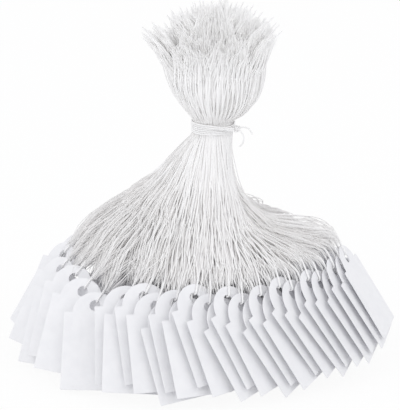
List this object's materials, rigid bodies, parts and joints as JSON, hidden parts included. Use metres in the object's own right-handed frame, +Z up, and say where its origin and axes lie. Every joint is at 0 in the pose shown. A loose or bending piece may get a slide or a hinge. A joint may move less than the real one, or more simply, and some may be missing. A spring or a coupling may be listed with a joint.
{
  "type": "bunch of strung price tags",
  "caption": "Tied bunch of blank strung price tags: domed, punched cards hang in a skirt on loops of string that are wound together at a neck and end in a tuft.",
  "frame": {"origin": "middle of the skirt of cards, on the surface that it stands on", "axes": "+Z up towards the tuft, +X to the right and -Y to the front, as the picture looks at it"},
  "size_m": [0.18, 0.1691, 0.1678],
  "materials": {
    "card": "matt white card stock",
    "string": "white twisted cotton",
    "tie": "white twisted cotton"
  },
  "bodies": {
    "bunch": {"inner_tags": "card", "core_tags": "card", "outer_strings": "string", "inner_strings": "string", "neck_tie": "tie", "tie_knot": "tie", "tie_tails": "tie"},
    "tag_01": {"tag_01": "card"},
    "tag_02": {"tag_02": "card"},
    "tag_03": {"tag_03": "card"},
    "tag_04": {"tag_04": "card"},
    "tag_05": {"tag_05": "card"},
    "tag_06": {"tag_06": "card"},
    "tag_07": {"tag_07": "card"},
    "tag_08": {"tag_08": "card"},
    "tag_09": {"tag_09": "card"},
    "tag_10": {"tag_10": "card"},
    "tag_11": {"tag_11": "card"},
    "tag_12": {"tag_12": "card"},
    "tag_13": {"tag_13": "card"},
    "tag_14": {"tag_14": "card"},
    "tag_15": {"tag_15": "card"},
    "tag_16": {"tag_16": "card"},
    "tag_17": {"tag_17": "card"},
    "tag_18": {"tag_18": "card"},
    "tag_19": {"tag_19": "card"},
    "tag_20": {"tag_20": "card"},
    "tag_21": {"tag_21": "card"},
    "tag_22": {"tag_22": "card"},
    "tag_23": {"tag_23": "card"},
    "tag_24": {"tag_24": "card"},
    "tag_25": {"tag_25": "card"},
    "tag_26": {"tag_26": "card"},
    "tag_27": {"tag_27": "card"},
    "tag_28": {"tag_28": "card"},
    "tag_29": {"tag_29": "card"},
    "tag_30": {"tag_30": "card"},
    "tag_31": {"tag_31": "card"},
    "tag_32": {"tag_32": "card"},
    "tag_33": {"tag_33": "card"},
    "tag_34": {"tag_34": "card"},
    "tag_35": {"tag_35": "card"},
    "tag_36": {"tag_36": "card"},
    "tag_37": {"tag_37": "card"},
    "tag_38": {"tag_38": "card"},
    "tag_39": {"tag_39": "card"},
    "tag_40": {"tag_40": "card"},
    "tag_41": {"tag_41": "card"},
    "tag_42": {"tag_42": "card"},
    "tag_43": {"tag_43": "card"},
    "tag_44": {"tag_44": "card"},
    "tag_45": {"tag_45": "card"},
    "tag_46": {"tag_46": "card"},
    "tag_47": {"tag_47": "card"},
    "tag_48": {"tag_48": "card"}
  },
  "joints": [
    {"name": "tag_01_swing", "type": "hinge", "parent": "bunch", "child": "tag_01", "pos_m": [0.06198, 0.00611, 0.04234], "axis": [0.634, 0.59, 0.5], "range_deg": [-12, 12]},
    {"name": "tag_02_swing", "type": "hinge", "parent": "bunch", "child": "tag_02", "pos_m": [0.05952, 0.02158, 0.0395], "axis": [0.4848, 0.7176, 0.5], "range_deg": [-12, 12]},
    {"name": "tag_03_swing", "type": "hinge", "parent": "bunch", "child": "tag_03", "pos_m": [0.05441, 0.03405, 0.03594], "axis": [0.3403, 0.7964, 0.5], "range_deg": [-12, 12]},
    {"name": "tag_04_swing", "type": "hinge", "parent": "bunch", "child": "tag_04", "pos_m": [0.04598, 0.03966, 0.04113], "axis": [0.1891, 0.8451, 0.5], "range_deg": [-12, 12]},
    {"name": "tag_05_swing", "type": "hinge", "parent": "bunch", "child": "tag_05", "pos_m": [0.03755, 0.04875, 0.03846], "axis": [0.0337, 0.8654, 0.5], "range_deg": [-12, 12]},
    {"name": "tag_06_swing", "type": "hinge", "parent": "bunch", "child": "tag_06", "pos_m": [0.0288, 0.05067, 0.04338], "axis": [-0.1159, 0.8582, 0.5], "range_deg": [-12, 12]},
    {"name": "tag_07_swing", "type": "hinge", "parent": "bunch", "child": "tag_07", "pos_m": [0.01877, 0.05638, 0.04013], "axis": [-0.2621, 0.8254, 0.5], "range_deg": [-12, 12]},
    {"name": "tag_08_swing", "type": "hinge", "parent": "bunch", "child": "tag_08", "pos_m": [0.00831, 0.06026, 0.03694], "axis": [-0.3929, 0.7718, 0.5], "range_deg": [-12, 12]},
    {"name": "tag_09_swing", "type": "hinge", "parent": "bunch", "child": "tag_09", "pos_m": [0.00038, 0.05821, 0.04172], "axis": [-0.514, 0.697, 0.5], "range_deg": [-12, 12]},
    {"name": "tag_10_swing", "type": "hinge", "parent": "bunch", "child": "tag_10", "pos_m": [-0.0108, 0.05911, 0.03911], "axis": [-0.6221, 0.6025, 0.5], "range_deg": [-12, 12]},
    {"name": "tag_11_swing", "type": "hinge", "parent": "bunch", "child": "tag_11", "pos_m": [-0.02177, 0.05826, 0.03531], "axis": [-0.7087, 0.4977, 0.5], "range_deg": [-12, 12]},
    {"name": "tag_12_swing", "type": "hinge", "parent": "bunch", "child": "tag_12", "pos_m": [-0.02835, 0.05312, 0.04075], "axis": [-0.7812, 0.3738, 0.5], "range_deg": [-12, 12]},
    {"name": "tag_13_swing", "type": "hinge", "parent": "bunch", "child": "tag_13", "pos_m": [-0.03858, 0.04929, 0.03793], "axis": [-0.8293, 0.2494, 0.5], "range_deg": [-12, 12]},
    {"name": "tag_14_swing", "type": "hinge", "parent": "bunch", "child": "tag_14", "pos_m": [-0.04304, 0.04296, 0.04274], "axis": [-0.858, 0.1173, 0.5], "range_deg": [-12, 12]},
    {"name": "tag_15_swing", "type": "hinge", "parent": "bunch", "child": "tag_15", "pos_m": [-0.052, 0.03604, 0.03975], "axis": [-0.8658, -0.0197, 0.5], "range_deg": [-12, 12]},
    {"name": "tag_16_swing", "type": "hinge", "parent": "bunch", "child": "tag_16", "pos_m": [-0.05945, 0.02779, 0.03632], "axis": [-0.8531, -0.1493, 0.5], "range_deg": [-12, 12]},
    {"name": "tag_17_swing", "type": "hinge", "parent": "bunch", "child": "tag_17", "pos_m": [-0.06041, 0.01983, 0.04136], "axis": [-0.8204, -0.2775, 0.5], "range_deg": [-12, 12]},
    {"name": "tag_18_swing", "type": "hinge", "parent": "bunch", "child": "tag_18", "pos_m": [-0.06489, 0.00936, 0.03871], "axis": [-0.7675, -0.4012, 0.5], "range_deg": [-12, 12]},
    {"name": "tag_19_swing", "type": "hinge", "parent": "bunch", "child": "tag_19", "pos_m": [-0.06303, 0.00162, 0.04377], "axis": [-0.7002, -0.5097, 0.5], "range_deg": [-12, 12]},
    {"name": "tag_20_swing", "type": "hinge", "parent": "bunch", "child": "tag_20", "pos_m": [-0.06379, -0.00943, 0.04037], "axis": [-0.6117, -0.613, 0.5], "range_deg": [-12, 12]},
    {"name": "tag_21_swing", "type": "hinge", "parent": "bunch", "child": "tag_21", "pos_m": [-0.06255, -0.02009, 0.03732], "axis": [-0.516, -0.6955, 0.5], "range_deg": [-12, 12]},
    {"name": "tag_22_swing", "type": "hinge", "parent": "bunch", "child": "tag_22", "pos_m": [-0.05692, -0.0258, 0.0421], "axis": [-0.4073, -0.7643, 0.5], "range_deg": [-12, 12]},
    {"name": "tag_23_swing", "type": "hinge", "parent": "bunch", "child": "tag_23", "pos_m": [-0.05242, -0.03556, 0.03936], "axis": [-0.2873, -0.817, 0.5], "range_deg": [-12, 12]},
    {"name": "tag_24_swing", "type": "hinge", "parent": "bunch", "child": "tag_24", "pos_m": [-0.04659, -0.04415, 0.0357], "axis": [-0.1672, -0.8497, 0.5], "range_deg": [-12, 12]},
    {"name": "tag_25_swing", "type": "hinge", "parent": "bunch", "child": "tag_25", "pos_m": [-0.03251, -0.05063, 0.04098], "axis": [0.0716, -0.8631, 0.5], "range_deg": [-12, 12]},
    {"name": "tag_26_swing", "type": "hinge", "parent": "bunch", "child": "tag_26", "pos_m": [-0.02805, -0.05466, 0.03831], "axis": [0.1369, -0.8551, 0.5], "range_deg": [-12, 12]},
    {"name": "tag_27_swing", "type": "hinge", "parent": "bunch", "child": "tag_27", "pos_m": [-0.02441, -0.05322, 0.04313], "axis": [0.2044, -0.8415, 0.5], "range_deg": [-12, 12]},
    {"name": "tag_28_swing", "type": "hinge", "parent": "bunch", "child": "tag_28", "pos_m": [-0.01914, -0.05671, 0.03999], "axis": [0.2735, -0.8217, 0.5], "range_deg": [-12, 12]},
    {"name": "tag_29_swing", "type": "hinge", "parent": "bunch", "child": "tag_29", "pos_m": [-0.01388, -0.05966, 0.03671], "axis": [0.3352, -0.7985, 0.5], "range_deg": [-12, 12]},
    {"name": "tag_30_swing", "type": "hinge", "parent": "bunch", "child": "tag_30", "pos_m": [-0.0107, -0.05751, 0.04158], "axis": [0.3976, -0.7694, 0.5], "range_deg": [-12, 12]},
    {"name": "tag_31_swing", "type": "hinge", "parent": "bunch", "child": "tag_31", "pos_m": [-0.00475, -0.05978, 0.03896], "axis": [0.46, -0.7337, 0.5], "range_deg": [-12, 12]},
    {"name": "tag_32_swing", "type": "hinge", "parent": "bunch", "child": "tag_32", "pos_m": [-0.00204, -0.0573, 0.04416], "axis": [0.5145, -0.6967, 0.5], "range_deg": [-12, 12]},
    {"name": "tag_33_swing", "type": "hinge", "parent": "bunch", "child": "tag_33", "pos_m": [0.00427, -0.05881, 0.04012], "axis": [0.5482, -0.669, 0.5019], "range_deg": [-12, 12]},
    {"name": "tag_34_swing", "type": "hinge", "parent": "bunch", "child": "tag_34", "pos_m": [0.01021, -0.05979, 0.0382], "axis": [0.5739, -0.6456, 0.5038], "range_deg": [-12, 12]},
    {"name": "tag_35_swing", "type": "hinge", "parent": "bunch", "child": "tag_35", "pos_m": [0.0129, -0.05693, 0.04293], "axis": [0.6008, -0.6192, 0.5057], "range_deg": [-12, 12]},
    {"name": "tag_36_swing", "type": "hinge", "parent": "bunch", "child": "tag_36", "pos_m": [0.01914, -0.05711, 0.03968], "axis": [0.6282, -0.5898, 0.5075], "range_deg": [-12, 12]},
    {"name": "tag_37_swing", "type": "hinge", "parent": "bunch", "child": "tag_37", "pos_m": [0.02499, -0.05687, 0.03775], "axis": [0.6508, -0.5629, 0.5094], "range_deg": [-12, 12]},
    {"name": "tag_38_swing", "type": "hinge", "parent": "bunch", "child": "tag_38", "pos_m": [0.02757, -0.05362, 0.04216], "axis": [0.674, -0.5332, 0.5113], "range_deg": [-12, 12]},
    {"name": "tag_39_swing", "type": "hinge", "parent": "bunch", "child": "tag_39", "pos_m": [0.03357, -0.05251, 0.0397], "axis": [0.697, -0.5008, 0.5132], "range_deg": [-12, 12]},
    {"name": "tag_40_swing", "type": "hinge", "parent": "bunch", "child": "tag_40", "pos_m": [0.03611, -0.04902, 0.04432], "axis": [0.7162, -0.471, 0.515], "range_deg": [-12, 12]},
    {"name": "tag_41_swing", "type": "hinge", "parent": "bunch", "child": "tag_41", "pos_m": [0.04186, -0.04711, 0.04233], "axis": [0.7371, -0.4353, 0.5169], "range_deg": [-12, 12]},
    {"name": "tag_42_swing", "type": "hinge", "parent": "bunch", "child": "tag_42", "pos_m": [0.0472, -0.04483, 0.04117], "axis": [0.7536, -0.4037, 0.5188], "range_deg": [-12, 12]},
    {"name": "tag_43_swing", "type": "hinge", "parent": "bunch", "child": "tag_43", "pos_m": [0.0496, -0.04073, 0.04494], "axis": [0.7695, -0.3698, 0.5206], "range_deg": [-12, 12]},
    {"name": "tag_44_swing", "type": "hinge", "parent": "bunch", "child": "tag_44", "pos_m": [0.05475, -0.03742, 0.04363], "axis": [0.7845, -0.3339, 0.5225], "range_deg": [-12, 12]},
    {"name": "tag_45_swing", "type": "hinge", "parent": "bunch", "child": "tag_45", "pos_m": [0.05943, -0.03376, 0.04336], "axis": [0.7968, -0.3002, 0.5244], "range_deg": [-12, 12]},
    {"name": "tag_46_swing", "type": "hinge", "parent": "bunch", "child": "tag_46", "pos_m": [0.06159, -0.02865, 0.0466], "axis": [0.809, -0.2621, 0.5262], "range_deg": [-12, 12]},
    {"name": "tag_47_swing", "type": "hinge", "parent": "bunch", "child": "tag_47", "pos_m": [0.06566, -0.02411, 0.04671], "axis": [0.8182, -0.2273, 0.5281], "range_deg": [-12, 12]},
    {"name": "tag_48_swing", "type": "hinge", "parent": "bunch", "child": "tag_48", "pos_m": [0.06737, -0.01862, 0.04953], "axis": [0.8263, -0.1909, 0.5299], "range_deg": [-12, 12]}
  ]
}
